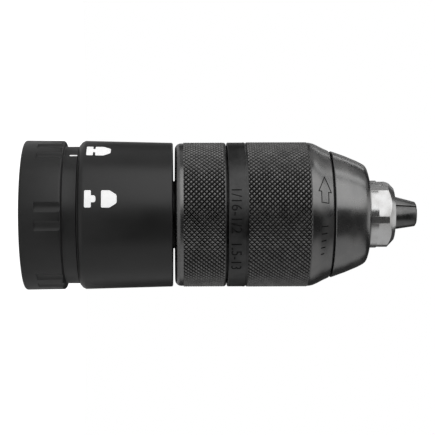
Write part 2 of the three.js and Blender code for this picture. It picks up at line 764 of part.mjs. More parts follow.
/** A bearing race: flat ring whose ball groove faces up (side 1) or down (side -1). */
function race(side) {
  const face = BEARING_BALL_Z - side * RACE_OFFSET;
  const back = side > 0 ? BODY_FLANGE_FRONT + FACE_GAP : NUT_REAR - FACE_GAP;
  const lift = 0.05; // of the groove's centre from the ball's, for clearance
  const span = THREE.MathUtils.radToDeg(Math.acos((RACE_OFFSET + lift) / RACE_GROOVE_RADIUS));
  const track = arc(
    BEARING_PITCH_RADIUS,
    BEARING_BALL_Z + side * lift,
    RACE_GROOVE_RADIUS,
    -90 * side + span,
    -90 * side - span,
    4,
  );
  const outerFirst = side > 0 ? track : track.toReversed();
  const profile = [
    [BEARING_INNER, back],
    [BEARING_OUTER, back],
    [BEARING_OUTER, face],
    ...outerFirst,
    [BEARING_INNER, face],
  ];
  return turned(side > 0 ? profile : profile.toReversed(), INNER_SIDES);
}

/** Flat cage with its captive balls. */
function ballCage() {
  const halfThickness = 0.4;
  const cage = ring(
    BEARING_INNER + 0.2,
    BEARING_OUTER - 0.2,
    BEARING_BALL_Z - halfThickness,
    BEARING_BALL_Z + halfThickness,
    INNER_SIDES,
  );
  const balls = Array.from({ length: BEARING_BALLS }, (_, i) => {
    const [x, y] = polar(BEARING_PITCH_RADIUS, (360 * i) / BEARING_BALLS);
    return ball(BEARING_BALL_RADIUS, x, y, BEARING_BALL_Z, 8);
  });
  return join(cage, ...balls);
}

/** Left-hand screw through the body's floor into the spigot. */
function retainingScrew() {
  const shank = SCREW_HOLE_RADIUS - 0.2;
  const [headRadius, chamfer] = [5, 0.8];
  const headRear = BODY_BORE_FLOOR + 0.05;
  const headFront = 65;
  const screw = turned(
    [
      [0, SCREW_HOLE_FLOOR + 0.4],
      [shank, SCREW_HOLE_FLOOR + 0.4],
      [shank, headRear],
      [headRadius, headRear],
      [headRadius, headFront - chamfer],
      [headRadius - chamfer, headFront],
      [0, headFront],
    ],
    SMALL_SIDES,
  );
  const [armLength, armWidth, armDepth] = [5.6, 1.2, 2];
  const crossArm = block(
    [-armLength / 2, armLength / 2],
    [-armWidth / 2, armWidth / 2],
    [headFront - armDepth, headFront + 1],
  );
  return cut(screw, crossArm, about(crossArm, 90));
}

// ---------------------------------------------------------------- materials and assembly

const metal = (color, roughness) => new THREE.MeshStandardMaterial({ color, roughness, metalness: 1 });
const matt = (color, roughness) => new THREE.MeshStandardMaterial({ color, roughness, metalness: 0 });

const blackPlastic = matt(0x1c1d1f, 0.5);
const blackOxide = metal(0x2b2b2d, 0.45);
const gunmetal = metal(0x6a6b6d, 0.35);
const turnedSteel = metal(0xb9babb, 0.3);
const hardSteel = metal(0x8c8e90, 0.35);
const springSteel = metal(0x55585c, 0.4);
const rubber = matt(0x141414, 0.8);
const slipPlastic = matt(0x101010, 0.6);

const chuck = new THREE.Group();

function add(name, shape, material) {
  const mesh = new THREE.Mesh(geometryOf(shape), material);
  mesh.name = name;
  chuck.add(mesh);
}

add("change_ring", changeRing(), blackPlastic);
add("cam_ring", camRing(), hardSteel);
add("adapter_hub", adapterHub(), blackOxide);
LOCK_BALL_ANGLES.forEach((a, i) => add(`lock_ball_${i + 1}`, lockBall(a), hardSteel));
add("stop_pin", stopPin(), hardSteel);
add("click_plunger", clickPlunger(), springSteel);
add("wave_washer", waveWasher(), springSteel);
add("snap_ring", snapRing(), springSteel);
add("socket_seal", socketSeal(), rubber);
add("icon_sleeve", iconSleeve(), blackPlastic);
add("sleeve_circlip", sleeveCirclip(), springSteel);

add("chuck_body", chuckBody(), turnedSteel);
add("rear_ring", rearRing(), blackOxide);
add("front_sleeve", frontSleeve(), blackOxide);
add("slip_washer", slipWasher(), slipPlastic);
add("nose_cap", noseCap(), gunmetal);
JAW_ANGLES.forEach((a, i) => add(`jaw_${i + 1}`, jaw(a), blackOxide));
add("nut_half_a", nutHalf(1), hardSteel);
add("nut_half_b", nutHalf(-1), hardSteel);
add("nut_shell", nutShell(), gunmetal);
add("race_rear", race(1), hardSteel);
add("race_front", race(-1), hardSteel);
add("ball_cage", ballCage(), hardSteel);
add("retaining_screw", retainingScrew(), hardSteel);

export default chuck;
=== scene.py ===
import functools
import math

import bmesh
import bpy
import numpy as np
from mathutils import Matrix, Vector


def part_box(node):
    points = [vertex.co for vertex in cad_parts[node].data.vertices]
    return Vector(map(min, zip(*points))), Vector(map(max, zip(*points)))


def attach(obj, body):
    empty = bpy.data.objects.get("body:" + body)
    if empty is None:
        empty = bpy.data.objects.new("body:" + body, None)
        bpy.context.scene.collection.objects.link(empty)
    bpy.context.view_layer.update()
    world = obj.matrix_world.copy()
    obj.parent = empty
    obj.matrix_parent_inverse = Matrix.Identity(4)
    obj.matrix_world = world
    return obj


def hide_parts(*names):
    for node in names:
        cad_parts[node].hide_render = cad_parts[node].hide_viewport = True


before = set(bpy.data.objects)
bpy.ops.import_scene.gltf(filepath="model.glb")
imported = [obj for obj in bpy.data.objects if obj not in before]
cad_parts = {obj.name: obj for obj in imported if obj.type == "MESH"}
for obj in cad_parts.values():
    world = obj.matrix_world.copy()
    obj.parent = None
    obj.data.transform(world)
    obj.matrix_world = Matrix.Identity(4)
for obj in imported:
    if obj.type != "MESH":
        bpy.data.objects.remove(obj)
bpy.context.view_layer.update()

MM = 0.001
SIDES = 192  # sides of smooth turned pieces
FINE_SIDES = 96  # sides of small turned pieces and of cutters
SHARP_ANGLE = 28  # degrees: edges that turn more than this are drawn sharp


# ------------------------------------------------------------------ camera, light and floor

VIEW_DISTANCE = 419  # from the axis to the lens
VIEW_HEIGHT = 46.7  # of the lens along the axis
VIEW_AIM = Vector((0.88, 0, 57))
VIEW_ROLL = 0.17  # degrees by which the axis rises towards the jaws
LENS = 116
LIT_FROM = 58  # height on the axis that every light panel faces
PANEL_DISTANCE = 420
WALL_GLOW = 0.05  # of the walls as the chuck sees them; the camera sees them white
FLOOR_GLOW = 0.1  # the same for the floor


def place_camera():
    """A camera at -Y whose right is +Z, so that the chuck lies with its jaws to the right."""
    camera = bpy.data.objects.new("camera", bpy.data.cameras.new("camera"))
    bpy.context.scene.collection.objects.link(camera)
    place = Vector((0, -VIEW_DISTANCE, VIEW_HEIGHT))
    forward = (VIEW_AIM - place).normalized()
    up = Matrix.Rotation(math.radians(VIEW_ROLL), 3, forward) @ Vector((-1, 0, 0))
    right = forward.cross(up).normalized()
    up = right.cross(forward)
    turn = Matrix((right, up, -forward)).transposed().to_4x4()
    camera.matrix_world = Matrix.Translation(place * MM) @ turn
    camera.data.lens = LENS
    camera.data.sensor_width = 36
    camera.data.clip_start = 0.01
    bpy.context.scene.camera = camera


def soft_panel(name, away, distance, width, length, glow, rise=0):
    """A glowing rectangle in the direction away from the chuck, moved along the axis by the rise."""
    data = bpy.data.lights.new(name, "AREA")
    data.shape = "RECTANGLE"
    data.size = width * MM
    data.size_y = length * MM
    data.energy = glow * math.pi * data.size * data.size_y
    panel = bpy.data.objects.new(name, data)
    bpy.context.scene.collection.objects.link(panel)
    across = Vector((0, 0, 1)).cross(away) if abs(away.z) < 0.9 else Vector((1, 0, 0))
    along = away.cross(across)
    axes = Matrix((across, along, away)).transposed().to_4x4()
    place = (away * distance + Vector((0, 0, LIT_FROM + rise))) * MM
    panel.matrix_world = Matrix.Translation(place) @ axes
    panel.visible_camera = False


def side_panel(name, angle, width, glow, length=620, rise=0):
    """A soft panel beside the axis. Its angle is counted from the camera towards +X, in degrees."""
    turn = math.radians(angle)
    away = Vector((math.sin(turn), -math.cos(turn), 0))
    soft_panel(name, away, PANEL_DISTANCE, width, length, glow, rise)


def light_the_scene():
    """A white studio: the camera sees white, and the chuck sees dim walls and soft panels."""
    world = bpy.data.worlds.new("studio")
    bpy.context.scene.world = world
    world.use_nodes = True
    tree = world.node_tree
    output = tree.nodes["World Output"]
    walls = tree.nodes["Background"]
    walls.inputs["Color"].default_value = (1, 1, 1, 1)
    walls.inputs["Strength"].default_value = WALL_GLOW
    white = tree.nodes.new("ShaderNodeBackground")
    white.inputs["Color"].default_value = (1, 1, 1, 1)
    white.inputs["Strength"].default_value = 1.0
    rays = tree.nodes.new("ShaderNodeLightPath")
    mix = tree.nodes.new("ShaderNodeMixShader")
    tree.links.new(rays.outputs["Is Camera Ray"], mix.inputs["Fac"])
    tree.links.new(walls.outputs[0], mix.inputs[1])
    tree.links.new(white.outputs[0], mix.inputs[2])
    tree.links.new(mix.outputs[0], output.inputs["Surface"])
    side_panel("key", -46, 530, 1.3, length=1500, rise=60)
    side_panel("key_front", -90, 120, 1.3, length=340, rise=340)
    side_panel("streak", -138, 50, 1.7, length=170, rise=190)
    side_panel("ceiling", -106, 260, 0.3, length=1300)
    side_panel("behind", -157, 110, 0.32)
    side_panel("low_fill", 84, 720, 0.47, length=900, rise=40)
    soft_panel("overhead", Vector((0, 0, 1)), PANEL_DISTANCE, 300, 300, 0.7)
    bpy.context.scene.view_settings.view_transform = "Standard"


def lay_floor():
    """A pale round table top under the chuck, bright enough to melt into the white walls."""
    radius, edge, bevel = 260, 4, 1
    bottom, top = -8, -0.02
    rim = [
        (0, bottom), (radius - edge, bottom), (radius - bevel, bottom + bevel), (radius, -edge),
        (radius - bevel, -bevel), (radius - edge, top), (0, top),
    ]
    floor = revolve("floor", rim)
    finish = Finish("pale_floor", (0.9, 0.9, 0.9), 0, 0.6)
    grain = finish.noise(finish.object_place(), 90)
    finish.vary("Roughness", grain, 0.55, 0.65)
    finish.shader.inputs["Emission Color"].default_value = (1, 1, 1, 1)
    seen = finish.node("LightPath").outputs["Is Camera Ray"]
    glow = finish.spread(seen, 0, 1, FLOOR_GLOW, 1)
    finish.feed(finish.shader.inputs["Emission Strength"], glow)
    dress(floor, finish.material)


# ------------------------------------------------------------------ mesh helpers


@functools.cache
def z_span(node):
    """Rear and front end of a CAD node along the axis, in millimetres."""
    low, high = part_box(node)
    return low.z / MM, high.z / MM


def polar(radius, azimuth):
    """The (x, y) of a radius and an azimuth."""
    turn = math.radians(azimuth)
    return radius * math.cos(turn), radius * math.sin(turn)


def smoothed(mesh, angle=SHARP_ANGLE):
    """Shades a mesh smooth, except along edges that turn more than the angle."""
    mesh.shade_smooth()
    mesh.set_sharp_from_angle(angle=math.radians(angle))


def object_from(name, points, faces, angle=SHARP_ANGLE):
    """A mesh object from points in millimetres."""
    mesh = bpy.data.meshes.new(name)
    mesh.from_pydata((np.asarray(points, float) * MM).tolist(), [], faces)
    bm = bmesh.new()
    bm.from_mesh(mesh)
    bmesh.ops.remove_doubles(bm, verts=bm.verts, dist=1e-4 * MM)
    bm.to_mesh(mesh)
    bm.free()
    smoothed(mesh, angle)
    obj = bpy.data.objects.new(name, mesh)
    bpy.context.scene.collection.objects.link(obj)
    return obj


def revolve(name, profile, sides=SIDES, relief=None, first_row=0, angle=SHARP_ANGLE):
    """Turns a closed profile of (radius, z), listed counterclockwise, about the axis.
    relief[row, side] moves a point outward; the quads are then split so that diamonds stay crisp."""
    profile = np.asarray(profile, float)
    rows = len(profile)
    turn = np.arange(sides) * 2 * math.pi / sides
    radius = np.repeat(profile[:, :1], sides, axis=1)
    if relief is not None:
        radius = radius + relief
    height = np.repeat(profile[:, 1:], sides, axis=1)
    points = np.stack([radius * np.cos(turn), radius * np.sin(turn), height], axis=-1)
    row, side = np.meshgrid(np.arange(rows), np.arange(sides), indexing="ij")
    a = row * sides + side
    b = row * sides + (side + 1) % sides
    c = (row + 1) % rows * sides + (side + 1) % sides
    d = (row + 1) % rows * sides + side
    solid_axis = profile[0, 0] == 0 and profile[-1, 0] == 0
    last = rows - 1 if solid_axis else rows
    quads = np.stack([a, b, c, d], axis=-1)[:last]
    if relief is None:
        faces = quads.reshape(-1, 4).tolist()
    else:
        even = ((row + side - first_row) % 2 == 0)[:last]
        faces = quads[even][:, [0, 1, 2]].tolist() + quads[even][:, [0, 2, 3]].tolist()
        faces += quads[~even][:, [0, 1, 3]].tolist() + quads[~even][:, [1, 2, 3]].tolist()
    return object_from(name, points.reshape(-1, 3), faces, angle)


def rounded(radius, z, size, start, end, steps=8):
    """Points of an arc in a profile, its angles in degrees from the radial direction."""
    turns = np.radians(np.linspace(start, end, steps + 1))
    return [(radius + size * math.cos(t), z + size * math.sin(t)) for t in turns]


def ramp_between(start, end, steps):
    """Evenly spaced profile points from one to the other, both ends left out."""
    shares = [(i + 1) / (steps + 1) for i in range(steps)]
    return [tuple(a + (b - a) * t for a, b in zip(start, end)) for t in shares]


def sweep(name, sections, closed=False, angle=SHARP_ANGLE):
    """A tube through equal loops of points, with flat ends or joined into a ring."""
    count = len(sections[0])
    points = [p for section in sections for p in section]
    total = len(sections)
    faces = []
    for i in range(total if closed else total - 1):
        here, there = i * count, (i + 1) % total * count
        for j in range(count):
            k = (j + 1) % count
            faces.append((here + j, here + k, there + k, there + j))
    if not closed:
        faces.append(tuple(range(count))[::-1])
        faces.append(tuple(range((total - 1) * count, total * count)))
    return outward(object_from(name, points, faces, angle))


def outward(obj):
    """Turns every face of a closed mesh to point outward."""
    bm = bmesh.new()
    bm.from_mesh(obj.data)
    bmesh.ops.recalc_face_normals(bm, faces=bm.faces)
    bm.to_mesh(obj.data)
    bm.free()
    return obj


def prism(name, outline, rear, front):
    """A flat outline of (x, y) raised from one z to another."""
    return sweep(name, [[(x, y, z) for x, y in outline] for z in (rear, front)])


def bar(name, radius, rear, front, centre=(0, 0)):
    """A round bar along Z, as a cutter or a pin."""
    outline = [polar(radius, 360 * i / FINE_SIDES) for i in range(FINE_SIDES)]
    return prism(name, [(x + centre[0], y + centre[1]) for x, y in outline], rear, front)


def moved(obj, matrix):
    """The object with its mesh moved; the matrix is in millimetres."""
    scale = Matrix.Scale(MM, 4)
    obj.data.transform(scale @ matrix @ scale.inverted())
    return obj


def about(obj, azimuth):
    """The object turned about the axis."""
    return moved(obj, Matrix.Rotation(math.radians(azimuth), 4, "Z"))


def combine(target, operation, tools):
    """Joins the tools to the target, cuts them from it or keeps what they share."""
    for tool in tools:
        step = target.modifiers.new("combine", "BOOLEAN")
        step.operation = operation
        step.solver = "MANIFOLD"
        step.object = tool
    bpy.context.view_layer.update()
    result = target.evaluated_get(bpy.context.evaluated_depsgraph_get())
    mesh = bpy.data.meshes.new_from_object(result)
    target.modifiers.clear()
    target.data = mesh
    for tool in tools:
        bpy.data.objects.remove(tool)
    smoothed(mesh)
    return target


def cut(target, *tools):
    return combine(target, "DIFFERENCE", tools)


def join(target, *tools):
    return combine(target, "UNION", tools)


def shared(target, *tools):
    return combine(target, "INTERSECT", tools)


def wrapped(points, azimuth, radius_at):
    """Flat points (along the turn, along z, out from the surface) laid onto a turned surface."""
    laid = []
    for u, z, out in points:
        surface = radius_at(z)
        laid.append((*polar(surface + out, azimuth + math.degrees(u / surface)), z))
    return laid


def dress(obj, material):
    """Gives an object one material in place of those it has."""
    obj.data.materials.clear()
    obj.data.materials.append(material)
    return obj


def painted(obj, material, chosen):
    """Gives one more material to the faces that a test of (radius, z) chooses."""
    obj.data.materials.append(material)
    for face in obj.data.polygons:
        x, y, z = face.center / MM
        if chosen(math.hypot(x, y), z):
            face.material_index = len(obj.data.materials) - 1


def piece(obj, body, material, slot, *nodes):
    """Puts a finished mesh on its CAD body in place of CAD nodes."""
    dress(obj, material)
    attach(obj, body)
    if nodes:
        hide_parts(*nodes)
    return obj


# ------------------------------------------------------------------ materials


class Finish:
    """A material being made: its Principled shader, and short ways to feed it."""

    def __init__(self, name, colour, metallic, roughness):
        self.material = bpy.data.materials.new(name)
        self.material.use_nodes = True
        self.tree = self.material.node_tree
        self.shader = self.tree.nodes["Principled BSDF"]
        self.shader.inputs["Base Color"].default_value = (*colour, 1)
        self.shader.inputs["Metallic"].default_value = metallic
        self.shader.inputs["Roughness"].default_value = roughness
        self.bump_normal = None

    def node(self, kind, inputs=(), **settings):
        made = self.tree.nodes.new("ShaderNode" + kind)
        for name, value in settings.items():
            setattr(made, name, value)
        for key, value in dict(inputs).items():
            self.feed(made.inputs[key], value)
        return made

    def feed(self, socket, value):
        if isinstance(value, bpy.types.NodeSocket):
            self.tree.links.new(value, socket)
        else:
            socket.default_value = value

    def math(self, operation, *values):
        return self.node("Math", enumerate(values), operation=operation).outputs[0]

    def object_place(self):
        return self.node("TexCoord").outputs["Object"]

    def turned_place(self, drift=0.002):
        """Coordinates in which noise runs round the axis, as a turning tool's marks do."""
        x, y, z = self.node("SeparateXYZ", {0: self.object_place()}).outputs
        turn = self.math("ARCTAN2", y, x)
        slow_turn = self.math("MULTIPLY", self.math("ABSOLUTE", turn), drift)
        return self.node("CombineXYZ", {0: self.radius(), 1: z, 2: slow_turn}).outputs[0]

    def radius(self):
        """Distance from the axis."""
        x, y, _ = self.node("SeparateXYZ", {0: self.object_place()}).outputs
        square = self.math("ADD", self.math("POWER", x, 2), self.math("POWER", y, 2))
        return self.math("SQRT", square)

    def stretched(self, scale):
        return self.node("Mapping", {"Vector": self.object_place(), "Scale": scale}).outputs[0]

    def noise(self, place, scale, detail=3.0):
        inputs = {"Vector": place, "Scale": scale, "Detail": detail}
        return self.node("TexNoise", inputs).outputs["Fac"]

    def spread(self, value, low, high, to_low, to_high):
        """A value mapped from one range onto another, smoothly at both ends."""
        inputs = {
            "Value": value, "From Min": low, "From Max": high,
            "To Min": to_low, "To Max": to_high,
        }
        return self.node("MapRange", inputs, interpolation_type="SMOOTHSTEP").outputs[0]

    def vary(self, socket, value, low, high):
        """Feeds a shader input with a noise value spread between two numbers."""
        self.feed(self.shader.inputs[socket], self.spread(value, 0.3, 0.7, low, high))

    def colours(self, value, low, high):
        """The base colour goes from one to the other with a 0 to 1 value."""
        mix = self.node("Mix", data_type="RGBA")
        self.feed(mix.inputs["Factor"], value)
        mix.inputs[6].default_value = (*low, 1)
        mix.inputs[7].default_value = (*high, 1)
        self.feed(self.shader.inputs["Base Color"], mix.outputs[2])

    def bump(self, value, depth, strength=1.0):
        """Raises the surface by a noise value; depth in millimetres."""
        inputs = {"Height": value, "Distance": depth * MM, "Strength": strength}
        made = self.node("Bump", inputs)
        if self.bump_normal is not None:
            self.feed(made.inputs["Normal"], self.bump_normal)
        self.bump_normal = made.outputs[0]
        self.feed(self.shader.inputs["Normal"], self.bump_normal)


def grey(value, warmth=0.0):
    """A grey, slightly warm if wanted."""
    return (value * (1 + warmth), value, value * (1 - warmth))


def moulded_plastic():
    """Satin black plastic with a fine spark-eroded grain and slight rubbing."""
    finish = Finish("moulded_plastic", grey(0.012), 0, 0.36)
    place = finish.object_place()
    rubbing = finish.noise(place, 70, 4)
    finish.vary("Roughness", rubbing, 0.32, 0.4)
    finish.colours(finish.spread(rubbing, 0.35, 0.75, 0, 1), grey(0.013), grey(0.019))
    finish.bump(finish.noise(place, 5200, 2), 0.012, 0.35)
    finish.bump(finish.noise(finish.turned_place(), 500, 2), 0.01, 0.2)
    return finish.material


def oxide_steel():
    """Dull black oxide on turned steel."""
    finish = Finish("oxide_steel", grey(0.06), 1, 0.38)
    mottle = finish.noise(finish.object_place(), 260, 4)
    finish.vary("Roughness", mottle, 0.33, 0.44)
    finish.colours(finish.spread(mottle, 0.3, 0.7, 0, 1), grey(0.05), grey(0.08))
    finish.bump(finish.noise(finish.turned_place(), 4200, 2), 0.008, 0.25)
    return finish.material


def knurl_steel_wear_painted_shade_and_glints(crest_radius):
    """Black oxide on a knurl, darker with depth: painted shade in the valleys, crests lighter from
    handling wear and painted glints.
    """
    finish = Finish("knurl_steel_wear_painted_shade_and_glints", grey(0.13), 1, 0.34)
    mottle = finish.noise(finish.object_place(), 260, 4)
    finish.vary("Roughness", mottle, 0.3, 0.4)
    valley, crest = [(crest_radius - share * KNURL_DEPTH) * MM for share in (0.95, 0.4)]
    # painted shade and glints: the colour runs from near black in the valleys to light on the crests
    height = finish.spread(finish.radius(), valley, crest, 0, 0.85)
    patches = finish.spread(finish.noise(finish.object_place(), 420, 3), 0.3, 0.7, 0.8, 1.15)
    finish.colours(finish.math("MULTIPLY", height, patches), grey(0.02), grey(0.215, 0.01))
    finish.bump(finish.noise(finish.object_place(), 2600, 2), 0.006, 0.25)
    return finish.material


def oxide_painted_highlight():
    """Oxide made lighter as a painted highlight on the cone and on the rear band, over finely turned
    steel.
    """
    finish = Finish("oxide_painted_highlight", grey(0.2), 1, 0.28)
    clouds = finish.noise(finish.object_place(), 190, 4)
    finish.vary("Roughness", clouds, 0.24, 0.33)
    finish.colours(finish.spread(clouds, 0.3, 0.7, 0, 1), grey(0.165), grey(0.21, 0.01))
    finish.bump(finish.noise(finish.turned_place(), 4800, 3), 0.009, 0.3)
    return finish.material


def gunmetal():
    """Grey plated steel with the fine rings of the turning tool."""
    finish = Finish("gunmetal", grey(0.22), 1, 0.3)
    marks = finish.noise(finish.turned_place(), 5200, 3)
    clouds = finish.noise(finish.object_place(), 150, 4)
    finish.vary("Roughness", clouds, 0.22, 0.3)
    finish.colours(finish.spread(clouds, 0.3, 0.7, 0, 1), grey(0.2), grey(0.25, 0.01))
    finish.bump(marks, 0.01, 0.3)
    return finish.material


def bright_steel():
    """Bare machined steel: fine tool rings, a few handling scratches and faint stains."""
    finish = Finish("bright_steel", grey(0.62), 1, 0.24)
    marks = finish.noise(finish.turned_place(), 6000, 3)
    stains = finish.noise(finish.object_place(), 240, 5)
    finish.vary("Roughness", stains, 0.2, 0.31)
    finish.colours(finish.spread(stains, 0.35, 0.7, 0, 1), grey(0.64), grey(0.52, 0.012))
    finish.bump(marks, 0.012, 0.35)
    scratches = finish.noise(finish.stretched((300, 2600, 900)), 1, 3)
    finish.bump(finish.spread(scratches, 0.62, 0.72, 0, 1), 0.004, 0.3)
    return finish.material


def jaw_steel():
    """Hardened jaws, blackened over ground faces, with grinding lines along each jaw."""
    finish = Finish("jaw_steel", grey(0.05), 1, 0.3)
    lines = finish.noise(finish.stretched((2400, 2400, 160)), 1, 3)
    clouds = finish.noise(finish.object_place(), 320, 4)
    finish.vary("Roughness", clouds, 0.26, 0.36)
    finish.colours(finish.spread(clouds, 0.35, 0.75, 0, 1), grey(0.12), grey(0.19, 0.01))
    finish.bump(lines, 0.008, 0.3)
    return finish.material


def hard_steel():
    """Ground and polished bearing steel."""
    finish = Finish("hard_steel", grey(0.5), 1, 0.16)
    marks = finish.noise(finish.turned_place(), 7000, 3)
    finish.vary("Roughness", finish.noise(finish.object_place(), 300, 3), 0.12, 0.22)
    haze = finish.noise(finish.object_place(), 500, 4)
    finish.colours(finish.spread(haze, 0.3, 0.7, 0, 1), grey(0.46), grey(0.55, 0.01))
    finish.bump(marks, 0.006, 0.2)
    return finish.material


def spring_steel():
    """Blued spring steel with stamped, slightly dull faces."""
    finish = Finish("spring_steel", (0.16, 0.17, 0.19), 1, 0.32)
    clouds = finish.noise(finish.object_place(), 380, 4)
    finish.vary("Roughness", clouds, 0.27, 0.4)
    shades = finish.spread(clouds, 0.3, 0.7, 0, 1)
    finish.colours(shades, (0.13, 0.14, 0.17), (0.2, 0.2, 0.2))
    finish.bump(finish.noise(finish.object_place(), 3800, 3), 0.008, 0.3)
    return finish.material


def rubber():
    """Black seal rubber, matt with a light bloom."""
    finish = Finish("rubber", grey(0.018), 0, 0.75)
    bloom = finish.noise(finish.object_place(), 600, 4)
    finish.vary("Roughness", bloom, 0.68, 0.82)
    finish.colours(finish.spread(bloom, 0.4, 0.8, 0, 1), grey(0.014), grey(0.034))
    finish.bump(finish.noise(finish.object_place(), 4200, 3), 0.015, 0.4)
    return finish.material


def slip_plastic():
    """Self-lubricating black plastic of the thin washer."""
    finish = Finish("slip_plastic", grey(0.012), 0, 0.5)
    smear = finish.noise(finish.turned_place(0.01), 1500, 3)
    finish.vary("Roughness", smear, 0.45, 0.6)
    finish.colours(smear, grey(0.009), grey(0.018))
    finish.bump(smear, 0.008, 0.3)
    return finish.material


def white_print():
    """White pad print, a little uneven over the grain below it, and glowing faintly as painted
    light.
    """
    finish = Finish("white_print", grey(0.9), 0, 0.5)
    speckle = finish.noise(finish.object_place(), 2600, 3)
    finish.vary("Roughness", speckle, 0.45, 0.6)
    finish.colours(finish.spread(speckle, 0.3, 0.6, 0, 1), grey(0.84), grey(0.95))
    finish.bump(speckle, 0.008, 0.25)
    # painted light: the print glows faintly, though it is no lamp
    finish.shader.inputs["Emission Color"].default_value = (1, 1, 1, 1)
    finish.shader.inputs["Emission Strength"].default_value = 0.35
    return finish.material


def recess_black():
    """Oxide that has stayed dark in the engraving, where nothing rubs it."""
    finish = Finish("recess_black", grey(0.012), 0.4, 0.6)
    soot = finish.noise(finish.object_place(), 1800, 3)
    finish.vary("Roughness", soot, 0.55, 0.7)
    finish.colours(soot, grey(0.008), grey(0.02))
    finish.bump(soot, 0.01, 0.3)
    return finish.material


# ------------------------------------------------------------------ knurl

GRIP_RADIUS = 21.55  # over the front sleeve's knurl
REAR_RING_RADIUS = 21.47  # over the rear ring's knurl
DIAMONDS = 90  # round the ring
STEPS = 6  # mesh steps per diamond, both ways
KNURL_SIDES = DIAMONDS * STEPS
KNURL_PITCH = 1.46  # along the axis, roughly
KNURL_DEPTH = 0.34
CREST = 2 / 3  # height at which the diamonds are cut flat


def knurl_rows(radius, rear, front):
    """Profile rows of a knurled band with a whole number of diamonds between its ends."""
    count = STEPS * round((front - rear) / KNURL_PITCH)
    return [(radius, z) for z in np.linspace(rear, front, count + 1)]


def knurl_relief(before, rows, after):
    """How far each point of a knurled profile lies from its row's radius: flat-topped diamonds."""
    row, side = np.meshgrid(np.arange(rows), np.arange(KNURL_SIDES), indexing="ij")
    across = [np.abs((row + way * side) / STEPS % 1 - 0.5) for way in (1, -1)]
    height = np.minimum(1 - 2 * np.maximum(*across), CREST) / CREST
    knurl = -KNURL_DEPTH * (1 - height)
    return np.vstack([np.zeros((before, KNURL_SIDES)), knurl, np.zeros((after, KNURL_SIDES))])


def knurled(name, before, radius, rear, front, after):
    """A turned piece whose profile runs through a knurled band."""
    rows = knurl_rows(radius, rear, front)
    relief = knurl_relief(len(before), len(rows), len(after))
    profile = [*before, *rows, *after]
    return revolve(name, profile, KNURL_SIDES, relief, first_row=len(before), angle=20)


# ------------------------------------------------------------------ spindle adapter

CHANGE_RING_RADIUS = 22.2
GRIP_FRONT = 12.1  # where the change ring's ribbed grip steps down to its neck
NECK_RADIUS = 20.35
SLEEVE_RADIUS = 22.05  # of the smooth sleeve, at its rear end
SLEEVE_FRONT_RADIUS = 21.44
SLEEVE_REAR_EDGE = 1.8  # rounding
SLEEVE_FRONT_EDGE = 0.45

SOCKET_RADIUS = 11.5
SOCKET_FLOOR = 32
HUB_RADIUS = 14.3
SHAFT_RADIUS = 10.05
SPIGOT_RADIUS = 6.35
SCREW_HOLE_RADIUS = 3.1
FLANGE_RADIUS = 19.6
FLANGE_REAR = 16.4
FLANGE_FRONT = 19.4
LOCK_BALL_AZIMUTHS = (30, 150, 270)
LOCK_BALL_RADIUS = 2.5
LOCK_BALL_HEIGHT = 8  # along the axis

# Grooves of the hub: radius of the floor, rear end, front end
SEAL_GROOVE = (12.6, 2.65, 4.35)
SNAP_GROOVE = (13.4, 0.95, 2.15)
CIRCLIP_GROOVE = (9.3, 42.25, 43.15)


def change_ring():
    """The cover that the user turns: six finger ribs, each between two shallow scoops."""
    rear, front = z_span("change_ring")
    outer = CHANGE_RING_RADIUS
    drafted = outer - 0.1
    rear_edge, front_edge, fillet, bevel = 0.8, 0.9, 0.3, 0.2
    recess, recess_floor = 17.6, 2.3
    cam_bore, cam_rear = 18.5, 4.2
    hub_bore = HUB_RADIUS + 0.4
    profile = [
        (recess, rear + 0.25), (recess + 0.25, rear),
        *rounded(outer - rear_edge, rear + rear_edge, rear_edge, -90, 0, 6),
        *rounded(drafted - front_edge, GRIP_FRONT - front_edge, front_edge, 0, 90),
        *rounded(NECK_RADIUS + fillet, GRIP_FRONT + fillet, fillet, 270, 180, 4),
        (NECK_RADIUS, front - bevel), (NECK_RADIUS - bevel, front),
        (cam_bore, front), (cam_bore, cam_rear), (hub_bore, cam_rear),
        (hub_bore, recess_floor), (recess, recess_floor),
    ]
    ring = revolve("change_ring_cover", profile)
    first_rib, rib_to_scoop = -89, 6.9
    scoop_radius, scoop_rear = 3, 4.4
    scoops = []
    for i in range(6):
        for side in (-rib_to_scoop, rib_to_scoop):
            centre = polar(outer + 2.5, first_rib + 60 * i + side)
            scoops.append(bar("scoop", scoop_radius, scoop_rear, GRIP_FRONT + 1, centre))
    return cut(ring, *scoops)


def icon_sleeve():
    """Smooth cover of the adapter, slightly conical, with a round rear edge."""
    rear, front = z_span("icon_sleeve")
    rear_edge, front_edge, bevel = SLEEVE_REAR_EDGE, SLEEVE_FRONT_EDGE, 0.2
    mouth, bore, shaft_hole, clip_recess = 19.75, 18.8, 10.35, 12.3
    wall_rear, wall_front = 40.8, 42.2
    step = 19.5  # just in front of the hub's flange
    profile = [
        (mouth, rear), (20.9, rear),
        *rounded(SLEEVE_RADIUS - rear_edge, rear + rear_edge, rear_edge, -66, 0, 12),
        *rounded(SLEEVE_FRONT_RADIUS - front_edge, front - front_edge, front_edge, 0, 90, 5),
        (clip_recess + bevel, front), (clip_recess, front - bevel), (clip_recess, wall_front),
        (shaft_hole, wall_front), (shaft_hole, wall_rear), (bore, wall_rear),
        (bore, step), (mouth, step),
    ]
    return revolve("icon_sleeve_cover", profile)


def sleeve_radius_at(z):
    """Radius of the smooth sleeve's cone."""
    rear, front = z_span("icon_sleeve")
    straight = front - rear - (SLEEVE_REAR_EDGE + SLEEVE_FRONT_EDGE)
    share = (z - rear - SLEEVE_REAR_EDGE) / straight
    return SLEEVE_RADIUS + (SLEEVE_FRONT_RADIUS - SLEEVE_RADIUS) * share


